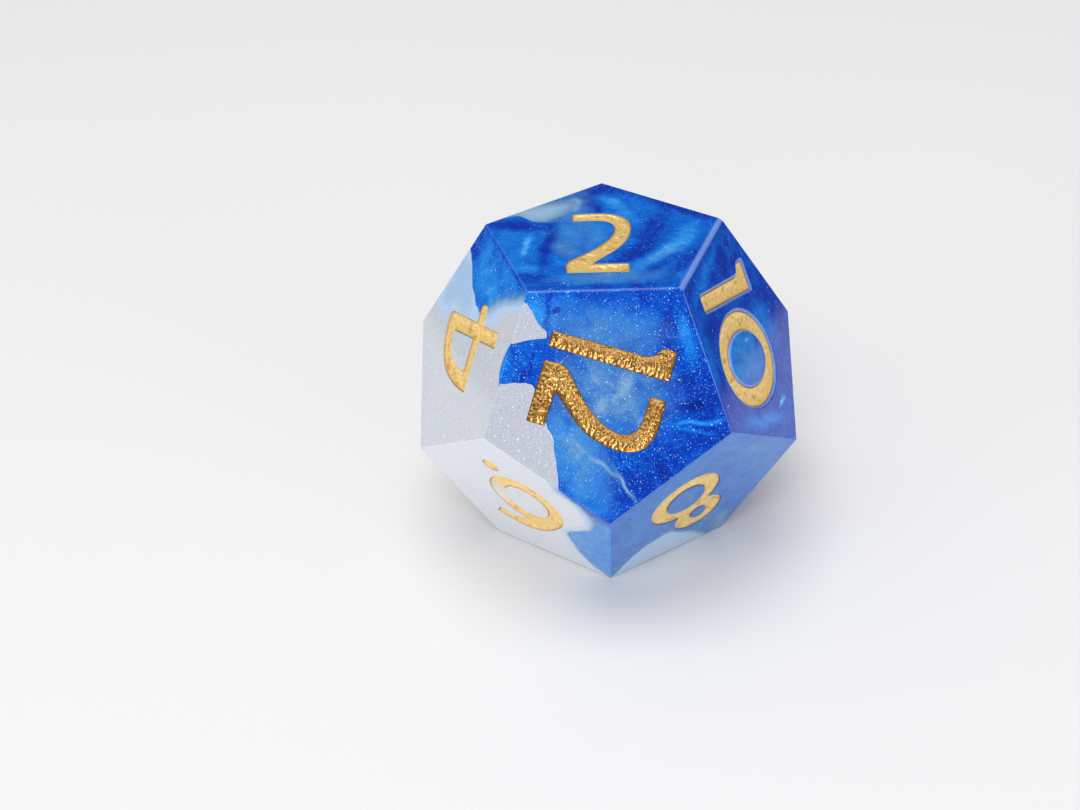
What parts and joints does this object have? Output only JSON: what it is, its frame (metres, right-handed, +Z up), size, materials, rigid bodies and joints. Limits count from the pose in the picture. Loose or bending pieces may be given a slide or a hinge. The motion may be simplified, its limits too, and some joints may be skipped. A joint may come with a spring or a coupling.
{
  "type": "twelve-sided die",
  "caption": "Twelve-sided polyhedral die of swirled blue and pearl resin with sharp edges and engraved, gold-painted numbers.",
  "frame": {"origin": "centre of the bottom face, the one numbered 11, which the die stands on", "axes": "+Z up, square to the top face, the one numbered 2; -Y towards the side the face numbered 12 looks to"},
  "size_m": [0.0224, 0.0234, 0.019],
  "materials": {
    "resin": "polished cast epoxy resin, blue mica and white pearl swirled together, with fine glitter",
    "gold_paint": "satin metallic gold paint, slightly rough"
  },
  "bodies": {
    "root": {"resin_body": "resin", "gold_fill_1": "gold_paint", "gold_fill_2": "gold_paint", "gold_fill_3": "gold_paint", "gold_fill_4": "gold_paint", "gold_fill_5": "gold_paint", "gold_fill_6": "gold_paint", "gold_fill_6_dot": "gold_paint", "gold_fill_7": "gold_paint", "gold_fill_8": "gold_paint", "gold_fill_9": "gold_paint", "gold_fill_9_dot": "gold_paint", "gold_fill_10_one": "gold_paint", "gold_fill_10_zero": "gold_paint", "gold_fill_11_left": "gold_paint", "gold_fill_11_right": "gold_paint", "gold_fill_12_one": "gold_paint", "gold_fill_12_two": "gold_paint"}
  },
  "joints": []
}
